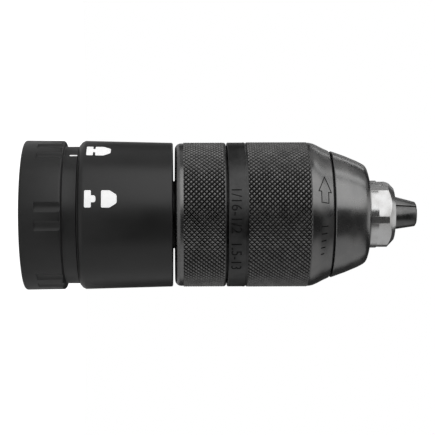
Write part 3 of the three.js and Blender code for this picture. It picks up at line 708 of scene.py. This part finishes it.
def printed_mark(name, halves, azimuth, radius_at):
    """White print on a turned surface. halves lists (z, half width) along the axis."""
    across = 14  # mesh steps across the print
    low, high = -0.03, 0.03  # the print reaches this far into and out of the surface
    sections = []
    for z, half in halves:
        edge = [(half * (2 * i / across - 1), z) for i in range(across + 1)]
        loop = [(u, z, low) for u, z in edge] + [(u, z, high) for u, z in reversed(edge)]
        sections.append(wrapped(loop, azimuth, radius_at))
    return sweep(name, sections)


MARK_CORNER = 0.25
INDEX_AZIMUTH = -148  # of the closed mark and of the line that points at it
OPEN_AZIMUTH = -102


def bullet(rear, front, half):
    """Half widths of a mark: a square rear end, then sides that close in on a blunt front end."""
    corner = MARK_CORNER
    length = front - rear
    return [
        (rear, half - corner), (rear + 0.1, half - 0.07), (rear + corner, half),
        (rear + 0.5 * length, half), (rear + 0.56 * length, 0.97 * half),
        (rear + 0.88 * length, 0.62 * half), (rear + 0.95 * length, 0.52 * half),
        (front - 0.06, 0.42 * half), (front, 0.3 * half),
    ]


def block(rear, front, half):
    """Half widths of a mark that is a rectangle with slightly cut corners."""
    corner = MARK_CORNER
    return [
        (rear, half - corner), (rear + 0.1, half - 0.07), (rear + corner, half),
        (front - corner, half), (front - 0.1, half - 0.07), (front, half - corner),
    ]


def sleeve_marks():
    """The closed mark, and the open mark in two parts, printed on the smooth sleeve."""
    half = 2.5
    closed = [
        *block(18.8, 20.7, half), (20.71, half * 0.36), (21.35, half * 0.36),
        *bullet(21.36, 25.8, half),
    ]
    knob = [(20.61, half * 0.4), (21.5, half * 0.4), (21.8, half * 0.3), (21.9, half * 0.15)]
    marks = {
        "closed_mark": (closed, INDEX_AZIMUTH),
        "open_mark_block": ([*block(18.7, 20.6, half), *knob], OPEN_AZIMUTH),
        "open_mark_bolt": (bullet(23.5, 27.9, half), OPEN_AZIMUTH),
    }
    return [
        printed_mark(name, shape, azimuth, sleeve_radius_at)
        for name, (shape, azimuth) in marks.items()
    ]


def index_line():
    """White line on the change ring's neck that points at the marks."""
    shape = [(13.8, 0.2), (13.95, 0.3), (15.95, 0.3), (16.05, 0.22)]
    return printed_mark("index_line", shape, INDEX_AZIMUTH, lambda z: NECK_RADIUS)


def groove(wall, floor, rear, front):
    """The corners of a square groove in a wall of the given radius, from rear to front."""
    return [(wall, rear), (floor, rear), (floor, front), (wall, front)]


def spline_key(azimuth):
    """A drive spline of the socket, its crest bevelled along both edges."""
    rear, front = 20.3, SOCKET_FLOOR + 0.5
    outline = [(10.6, -1.3), (10.4, -1.1), (10.4, 1.1), (10.6, 1.3), (12, 1.5), (12, -1.5)]
    return about(prism("key", outline, rear, front), azimuth)


def ball_hole(azimuth):
    """A radial hole for one lock ball, narrowed where it meets the socket."""
    narrow, wide = 2.3, 2.7
    outer = HUB_RADIUS + 1
    hole = revolve("ball_hole", [
        (0, SOCKET_RADIUS - 1.5), (narrow, SOCKET_RADIUS - 0.2), (wide, SOCKET_RADIUS + 0.85),
        (wide, outer), (0, outer),
    ], FINE_SIDES)
    lying = Matrix.Rotation(math.pi / 2, 4, "Y")
    lifted = Matrix.Translation((0, 0, LOCK_BALL_HEIGHT))
    return about(moved(hole, lifted @ lying), azimuth)


def adapter_hub():
    """Steel core of the adapter: socket with drive splines, ball holes, flange and shaft."""
    rear, front = z_span("adapter_hub")
    taper_rear, taper_front, shoulder = 35, 39, 43.7
    screw_floor = 46.2
    bevel = 0.3  # of the flange
    profile = [
        (0, SOCKET_FLOOR), (SOCKET_RADIUS, SOCKET_FLOOR),
        *reversed(groove(SOCKET_RADIUS, *SEAL_GROOVE)),
        (SOCKET_RADIUS, rear + 0.5), (SOCKET_RADIUS + 0.5, rear),
        (HUB_RADIUS - 0.25, rear), (HUB_RADIUS, rear + 0.25),
        *groove(HUB_RADIUS, *SNAP_GROOVE),
        (HUB_RADIUS, FLANGE_REAR), (FLANGE_RADIUS - bevel, FLANGE_REAR),
        (FLANGE_RADIUS, FLANGE_REAR + bevel), (FLANGE_RADIUS, FLANGE_FRONT - bevel),
        (FLANGE_RADIUS - bevel, FLANGE_FRONT), (HUB_RADIUS, FLANGE_FRONT),
        (HUB_RADIUS, taper_rear), (SHAFT_RADIUS, taper_front),
        *groove(SHAFT_RADIUS, *CIRCLIP_GROOVE),
        (SHAFT_RADIUS, 43.5), (SHAFT_RADIUS - 0.2, shoulder), (SPIGOT_RADIUS, shoulder),
        (SPIGOT_RADIUS, front - 0.8), (SPIGOT_RADIUS - 0.8, front),
        (SCREW_HOLE_RADIUS, front), (SCREW_HOLE_RADIUS, screw_floor), (0, screw_floor),
    ]
    core = revolve("adapter_core", profile)
    keys = [spline_key(60 * i) for i in range(6)]
    holes = [ball_hole(azimuth) for azimuth in LOCK_BALL_AZIMUTHS]
    return cut(join(core, *keys), *holes)


def lock_ball(number):
    """A hardened ball, turned with a small polished pole at each end."""
    low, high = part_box(f"lock_ball_{number}")
    centre = (low + high) / 2 / MM
    pole = 0.12
    lean = math.asin(pole / LOCK_BALL_RADIUS)
    start = math.degrees(lean) - 90
    top = LOCK_BALL_RADIUS * math.cos(lean)
    profile = [(0, -top), *rounded(0, 0, LOCK_BALL_RADIUS, start, -start, 48), (0, top)]
    ball = revolve(f"lock_ball_polished_{number}", profile, FINE_SIDES)
    return moved(ball, Matrix.Translation(centre))


def snap_ring():
    """Retaining ring with an eye at each end for the ring pliers."""
    rear, front = z_span("snap_ring")
    inner, outer, gap = 13.5, 16.8, 20
    swell = 0.35  # the ring is this much wider opposite its gap
    middle = (inner + outer) / 2
    eye_radius, eye_hole, eye_reach = 1.4, 0.75, 4.2
    steps = 120
    sections = []
    for i in range(steps + 1):
        azimuth = gap + eye_reach + (360 - 2 * gap - 2 * eye_reach) * i / steps
        bow = swell * math.sin(math.radians(azimuth / 2)) ** 2
        rim = outer - swell + bow
        corners = [(inner, rear), (rim, rear), (rim, front), (inner, front)]
        sections.append([(*polar(r, azimuth), z) for r, z in corners])
    ring = sweep("snap_ring_stamped", sections)
    eyes = [polar(middle + 0.2, side * (gap + eye_reach)) for side in (1, -1)]
    join(ring, *[bar("eye", eye_radius, rear, front, centre) for centre in eyes])
    return cut(ring, *[bar("eye_hole", eye_hole, rear - 1, front + 1, centre) for centre in eyes])


def socket_seal():
    """Round rubber ring in the socket's groove."""
    low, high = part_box("socket_seal")
    section = (high.z - low.z) / 2 / MM
    middle = (high.z + low.z) / 2 / MM
    profile = rounded(11.9, middle, section, -180, 180, 24)[:-1]
    return revolve("socket_seal_ring", profile)


# ------------------------------------------------------------------ chuck

NOSE_RADIUS = 10.05
BODY_STEP = 45.3
BODY_REAR_RADIUS = 19.9
BODY_REAR_FRONT = 59.1
BODY_SHOULDER_RADIUS = 18.9
BODY_SHOULDER_FRONT = 63.8
BODY_FLANGE_RADIUS = 17.9
BODY_FLANGE_FRONT = 71.8
BODY_BEARING_RADIUS = 15.5
BODY_FRONT_RADIUS = 13
BODY_CAP_SEAT = 98.5
BODY_BORE_RADIUS = 6.7
BODY_BORE_FLOOR = 62
NUT_GROOVE_RADIUS = 10.1
NUT_GROOVE_REAR = 78.5
NUT_GROOVE_FRONT = 86.7
HEX_REAR = 104.2
JAW_TILT = 15
JAW_RADIUS = 3.75
JAW_BORE_RADIUS = 3.95
JAW_TIP_OFFSET = -0.34
JAW_AZIMUTHS = (174, 294, 54)
HEX_ACROSS_FLATS = 18.4
HEX_AZIMUTH = 10.2


def jaw_bar(name, radius, rear, front):
    """A round bar on the tilted centreline of the jaw at azimuth 0, cut level at both ends."""
    tip = z_span("jaw_1")[1]
    length = tip - rear + 20
    tilted = bar(name, radius, -length, 20)
    moved(tilted, Matrix.Rotation(-math.radians(JAW_TILT), 4, "Y"))
    moved(tilted, Matrix.Translation((JAW_TIP_OFFSET, 0, tip)))
    far = 60
    square = [(-far, -far), (far, -far), (far, far), (-far, far)]
    return shared(tilted, prism("level", square, rear, front))


def chuck_body():
    """Machined body: nose with spanner flats, bore, three tilted jaw bores."""
    rear, front = z_span("chuck_body")
    rear_bore, rear_bore_floor = 6.45, 57.8
    screw_hole = 3.3
    nose_rim, mouth_bevel = 7.9, 0.35
    profile = [
        (rear_bore, rear), (NOSE_RADIUS, rear), (NOSE_RADIUS, BODY_STEP),
        (BODY_REAR_RADIUS, BODY_STEP), (BODY_REAR_RADIUS, BODY_REAR_FRONT),
        (BODY_SHOULDER_RADIUS, BODY_REAR_FRONT), (BODY_SHOULDER_RADIUS, BODY_SHOULDER_FRONT),
        (BODY_FLANGE_RADIUS, BODY_SHOULDER_FRONT), (BODY_FLANGE_RADIUS, BODY_FLANGE_FRONT),
        (BODY_BEARING_RADIUS, BODY_FLANGE_FRONT), (BODY_BEARING_RADIUS, NUT_GROOVE_REAR),
        (NUT_GROOVE_RADIUS, NUT_GROOVE_REAR), (NUT_GROOVE_RADIUS, NUT_GROOVE_FRONT),
        (BODY_FRONT_RADIUS, NUT_GROOVE_FRONT), (BODY_FRONT_RADIUS, BODY_CAP_SEAT),
        (NOSE_RADIUS, BODY_CAP_SEAT), (NOSE_RADIUS, front - 2.1), (nose_rim, front),
        (BODY_BORE_RADIUS + mouth_bevel, front), (BODY_BORE_RADIUS, front - mouth_bevel),
        (BODY_BORE_RADIUS, BODY_BORE_FLOOR), (screw_hole, BODY_BORE_FLOOR),
        (screw_hole, rear_bore_floor), (rear_bore, rear_bore_floor),
    ]
    core = revolve("body_machined", profile)
    bore_rear = 57.2
    bores = []
    for azimuth in JAW_AZIMUTHS:
        bores.append(about(jaw_bar("bore", JAW_BORE_RADIUS, bore_rear, front + 1), azimuth))
    corner = HEX_ACROSS_FLATS / math.sqrt(3)
    hexagon = [polar(corner, HEX_AZIMUTH + 30 + 60 * i) for i in range(6)]
    far = 14
    around = bar("around", far, HEX_REAR, front + 1)
    cut(around, prism("hexagon", hexagon, HEX_REAR - 1, front + 2))
    return cut(core, *bores, around)


RING_KNURL_REAR = 46.85
RING_KNURL_FRONT = 58.75


def rear_ring():
    """Knurled ring pressed on the back of the body."""
    rear, front = z_span("rear_ring")
    rear_band, front_band = 21.25, 21.4
    rear_edge, front_edge, bevel = 1.8, 0.6, 0.1
    hole, bore, floor = 13, 20, 45.2
    before = [
        (hole, floor), (hole, rear + bevel), (hole + bevel, rear),
        *rounded(rear_band - rear_edge, rear + rear_edge, rear_edge, -90, 0, 10),
        (rear_band, RING_KNURL_REAR),
    ]
    after = [
        (front_band, RING_KNURL_FRONT),
        *rounded(front_band - front_edge, front - front_edge, front_edge, 0, 90, 5),
        (bore, front), (bore, floor),
    ]
    span = (RING_KNURL_REAR, RING_KNURL_FRONT)
    return knurled("rear_ring_knurled", before, REAR_RING_RADIUS, *span, after)


BAND_RADIUS = 21.48  # plain band behind the front sleeve's knurl
KNURL_REAR = 65.55
KNURL_FRONT = 83.35
ENGRAVING_TOP = 0.6  # every engraving cutter reaches this far out of the surface
CONE = [  # the sleeve's crowned cone, as (radius, z)
    (21.42, 83.7), (21.38, 84.3), (21.15, 85.3), (20.63, 86.5),
    (20.0, 87.7), (19.42, 88.9), (19.0, 89.85),
]


def cone_radius_at(z):
    """Radius of the front sleeve's crowned cone."""
    radii, stations = zip(*CONE)
    return float(np.interp(z, stations, radii))


def engraved_outline(name, outline, stroke, azimuth, radius_at):
    """A cutter for an engraved line round a closed outline of (along the turn, z)."""
    sections = []
    count = len(outline)
    for i, corner in enumerate(outline):
        here = Vector(corner)
        back = (here - Vector(outline[i - 1])).normalized()
        ahead = (Vector(outline[(i + 1) % count]) - here).normalized()
        side_back, side_ahead = Vector((-back.y, back.x)), Vector((-ahead.y, ahead.x))
        mitre = (side_back + side_ahead).normalized()
        reach = stroke / 2 / max(0.35, mitre.dot(side_back))
        left, right = here + mitre * reach, here - mitre * reach
        depth, top = -0.3, ENGRAVING_TOP
        loop = [(*left, depth), (*right, depth), (*right, top), (*left, top)]
        sections.append(wrapped(loop, azimuth, radius_at))
    return sweep(name, sections, closed=True)


def arrow_cutters():
    """The turn arrow on the cone, and five ticks beside it that grow shorter."""
    middle = 87.35
    head, shaft, neck, tip, tail = 1.85, 1.05, 0.15, -4.5, 3.4
    outline = [
        (neck, middle + head), (tip, middle), (neck, middle - head), (neck, middle - shaft),
        (tail, middle - shaft), (tail, middle + shaft), (neck, middle + shaft),
    ]
    arrow = engraved_outline("arrow", outline, 0.27, -109, cone_radius_at)
    half, depth = 0.2, -0.25
    first_tick, tick_spacing = -80, 6
    ticks = []
    for i in range(5):
        rear, front = middle - 1.1, middle + 0.9 - 0.25 * i
        outline = [(-half, front), (-half, rear), (half, rear), (half, front)]
        loops = [[(u, z, out) for u, z in outline] for out in (depth, ENGRAVING_TOP)]
        azimuth = first_tick + tick_spacing * i
        ticks.append(sweep("tick", [wrapped(loop, azimuth, cone_radius_at) for loop in loops]))
    return [arrow, *ticks]


def engraved_numerals(text, azimuth, length, height, rear):
    """Cutters for generic capacity numerals that run round the plain band."""
    curve = bpy.data.curves.new("numerals", "FONT")
    curve.body = text
    curve.extrude = 1
    source = bpy.data.objects.new("numerals", curve)
    bpy.context.scene.collection.objects.link(source)
    bpy.context.view_layer.update()
    evaluated = source.evaluated_get(bpy.context.evaluated_depsgraph_get())
    mesh = bpy.data.meshes.new_from_object(evaluated)
    bpy.data.objects.remove(source)
    place = np.array([v.co for v in mesh.vertices])
    low, high = place.min(0), place.max(0)
    flat = (place - low) / (high - low)
    depth = -0.25
    points = []
    for u, v, w in flat:
        out = depth if w < 0.5 else ENGRAVING_TOP
        points.append(((u - 0.5) * length, rear + v * height, out))
    faces = [tuple(face.vertices) for face in mesh.polygons]
    cutter = object_from("numerals", wrapped(points, azimuth, lambda z: BAND_RADIUS), faces)
    bpy.data.meshes.remove(mesh)
    return outward(cutter)


def front_sleeve():
    """Knurled sleeve that closes the jaws: plain band with a bead, knurl, groove and cone."""
    rear, front = z_span("front_sleeve")
    bead = 0.05
    rear_hole, rear_wall, bore = 19.3, 64.2, 18.6
    front_hole, front_wall = 13.4, 87
    edge, bevel = 0.35, 0.1
    relief = BAND_RADIUS - 0.2  # of the narrow grooves at both ends of the knurl
    before = [
        (rear_hole, rear_wall), (rear_hole, rear + bevel), (rear_hole + bevel, rear),
        *rounded(BAND_RADIUS - edge, rear + edge, edge, -90, 0, 4),
        (BAND_RADIUS, 64.25), (BAND_RADIUS + bead, 64.45), (BAND_RADIUS + bead, 64.8),
        (BAND_RADIUS - 0.15, 65.1), (relief, KNURL_REAR - 0.05),
    ]
    after = [
        (relief, KNURL_FRONT + 0.05),
        *CONE, (18.8, front),
        (front_hole, front), (front_hole, front_wall), (bore - 0.2, front_wall),
        (bore, front_wall - 0.2), (bore, rear_wall),
    ]
    sleeve = knurled("front_sleeve_knurled", before, GRIP_RADIUS, KNURL_REAR, KNURL_FRONT, after)
    height, numerals_rear = 3.0, 60.5
    cutters = [
        engraved_numerals("1/16-1/2", -92.5, 12.8, height, numerals_rear),
        engraved_numerals("1.5-13", -55, 9.1, height, numerals_rear),
        *arrow_cutters(),
    ]
    return cut(sleeve, *cutters)


def is_engraved(radius, z):
    """Whether a place on the front sleeve lies in the bottom of the engraving."""
    shallow, deep = 0.08, 0.5
    band, cone = (60.05, 64.1), (84.5, 89.8)
    if band[0] < z < band[1]:
        return 21 < radius < BAND_RADIUS - shallow
    return cone[0] < z < cone[1] and shallow < cone_radius_at(z) - radius < deep


def nose_cap():
    """Turned gunmetal cap, a cone with a rounded front corner."""
    rear, front = z_span("nose_cap")
    base, bend, shoulder = (18.85, rear + 0.3), (17.4, 94.9), (15.9, 98.5)
    recess, recess_floor = 16, 94.5
    bore, seat = BODY_FRONT_RADIUS + 0.1, BODY_CAP_SEAT + 0.2
    hole, lip = NOSE_RADIUS + 0.25, 0.25
    profile = [
        (recess, rear), (18.5, rear), (18.75, rear + 0.1), base,
        *ramp_between(base, bend, 3), bend,
        *ramp_between(bend, shoulder, 3), shoulder,
        (15.3, 99.7), (14.9, 100.4), (14.5, 100.85), (14.0, 101.15), (13.1, 101.45),
        (12.1, 101.7),
        (hole + lip, front), (hole, front - lip), (hole, seat), (bore, seat),
        (bore, recess_floor), (recess, recess_floor),
    ]
    return revolve("nose_cap_turned", profile)


def slip_washer():
    """Thin washer with bevelled edges, between the turning sleeve and the cap."""
    rear, front = z_span("slip_washer")
    inner, outer, edge = 13.2, 17.7, 0.08
    profile = [
        (inner, rear), (outer - edge, rear), (outer, rear + edge),
        (outer, front - edge), (outer - edge, front), (inner, front),
    ]
    return revolve("slip_washer_moulded", profile)


THREAD_PITCH = 2.5
THREAD_PHASE = 79.4  # z of one of the nut's ridges at azimuth 0
NUT_MIDDLE = 82.55
NUT_FRONT = 86.5
JAW_OPENING = 5.75  # radial travel


def thread_cutters(azimuth):
    """The nut's ridges, where they pass the back of the jaw at an azimuth."""
    slope = math.tan(math.radians(JAW_TILT))
    rear, tip = z_span("jaw_1")
    root = JAW_TIP_OFFSET + (tip - NUT_MIDDLE) * slope
    root += JAW_RADIUS / math.cos(math.radians(JAW_TILT)) + 0.4
    section = [(0.4, -1.05), (-1.5, -0.6), (-1.5, 0.6), (0.4, 1.05)]  # narrows inward
    reach, steps = 22, 12
    phase = THREAD_PHASE + THREAD_PITCH * azimuth / 360
    first = math.ceil((rear - THREAD_PITCH - phase) / THREAD_PITCH)
    end = NUT_FRONT + JAW_OPENING / slope + THREAD_PITCH / 2
    last = math.floor((end - phase) / THREAD_PITCH)
    cutters = []
    for number in range(first, last + 1):
        rise = phase + number * THREAD_PITCH - NUT_MIDDLE
        sections = []
        for turn in np.linspace(-reach, reach, steps + 1):
            height = NUT_MIDDLE + THREAD_PITCH * turn / 360 + rise
            loop = [(*polar(root + r, turn), height + z) for r, z in section]
            sections.append([(x - rise * slope, y, z) for x, y, z in loop])
        cutters.append(sweep("groove", sections))
    return cutters


def jaw(number):
    """A hardened jaw: round back with thread grooves, two clamping faces, chamfered tip."""
    rear, tip = z_span(f"jaw_{number}")
    azimuth = JAW_AZIMUTHS[number - 1]
    face_gap, bite, far, wide = 0.22, 0.6, 20, 30
    spread = math.tan(math.radians(60))
    apex = face_gap / math.sin(math.radians(60))
    wedge = [
        (bite, -(bite - apex) * spread), (far, -(far - apex) * spread),
        (far, (far - apex) * spread), (bite, (bite - apex) * spread),
    ]
    blank = jaw_bar(f"jaw_blackened_{number}", JAW_RADIUS, rear, tip)
    tip_cone = revolve("tip_cone", [
        (0, rear - 1), (wide, rear - 1), (wide, tip - 3), (3.9, tip - 0.75),
        (3.55, tip - 0.3), (3.0, tip), (0, tip),
    ])
    shared(blank, prism("wedge", wedge, rear - 1, tip + 1), tip_cone)
    return about(cut(blank, *thread_cutters(azimuth)), azimuth)


# ------------------------------------------------------------------ the scene


def build_pieces():
    """Puts every piece on its body, with its finish."""
    plastic = moulded_plastic()
    oxide = oxide_steel()
    painted_highlight_oxide = oxide_painted_highlight()
    glowing_white_print = white_print()
    hard = hard_steel()
    spring = spring_steel()
    bright = bright_steel()
    blackened = jaw_steel()

    piece(change_ring(), "change_ring", plastic, "black_plastic", "change_ring")
    piece(icon_sleeve(), "chuck", plastic, "black_plastic", "icon_sleeve")
    for mark in sleeve_marks():
        piece(mark, "chuck", glowing_white_print, "white_print")
    piece(index_line(), "change_ring", glowing_white_print, "white_print")
    piece(adapter_hub(), "chuck", oxide, "black_oxide_steel", "adapter_hub")
    for number in (1, 2, 3):
        body = f"lock_ball_{number}"
        piece(lock_ball(number), body, hard, "hard_steel", body)
        body = f"jaw_{number}"
        piece(jaw(number), body, blackened, "black_oxide_steel", body)
    piece(snap_ring(), "chuck", spring, "spring_steel", "snap_ring")
    piece(socket_seal(), "chuck", rubber(), "rubber", "socket_seal")

    body = piece(chuck_body(), "chuck", bright, "bright_steel", "chuck_body")
    # painted shade: the body is dark oxide behind its flange, so that the gaps between the covers
    # read dark
    painted(body, oxide, lambda radius, z: z < BODY_FLANGE_FRONT - 0.8)
    # the knurls carry painted shade in their valleys and painted glints on their crests
    knurl_wear_painted_shade_and_glints = knurl_steel_wear_painted_shade_and_glints(REAR_RING_RADIUS)
    ring = piece(rear_ring(), "chuck", knurl_wear_painted_shade_and_glints, "black_oxide_steel", "rear_ring")
    # painted highlight: the rear ring's plain band gets the lighter oxide
    painted(ring, painted_highlight_oxide, lambda radius, z: z < RING_KNURL_REAR - 0.05)
    painted(ring, oxide, lambda radius, z: z > RING_KNURL_FRONT + 0.05)
    knurl_wear_painted_shade_and_glints = knurl_steel_wear_painted_shade_and_glints(GRIP_RADIUS)
    sleeve = piece(front_sleeve(), "front_sleeve", knurl_wear_painted_shade_and_glints, "black_oxide_steel", "front_sleeve")
    painted(sleeve, oxide, lambda radius, z: z < KNURL_REAR)
    # painted highlight: the sleeve's cone gets the lighter oxide
    painted(sleeve, painted_highlight_oxide, lambda radius, z: z > KNURL_FRONT)
    painted(sleeve, recess_black(), is_engraved)
    piece(nose_cap(), "chuck", gunmetal(), "gunmetal_steel", "nose_cap")
    piece(slip_washer(), "chuck", slip_plastic(), "slip_plastic", "slip_washer")

    kept = {
        "cam_ring": hard, "stop_pin": hard, "click_plunger": spring, "wave_washer": spring,
        "sleeve_circlip": spring, "race_rear": hard, "race_front": hard, "ball_cage": hard,
        "nut_half_a": bright, "nut_half_b": bright, "nut_shell": bright, "retaining_screw": oxide,
    }
    for node, material in kept.items():
        dress(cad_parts[node], material)


place_camera()
light_the_scene()
lay_floor()
build_pieces()
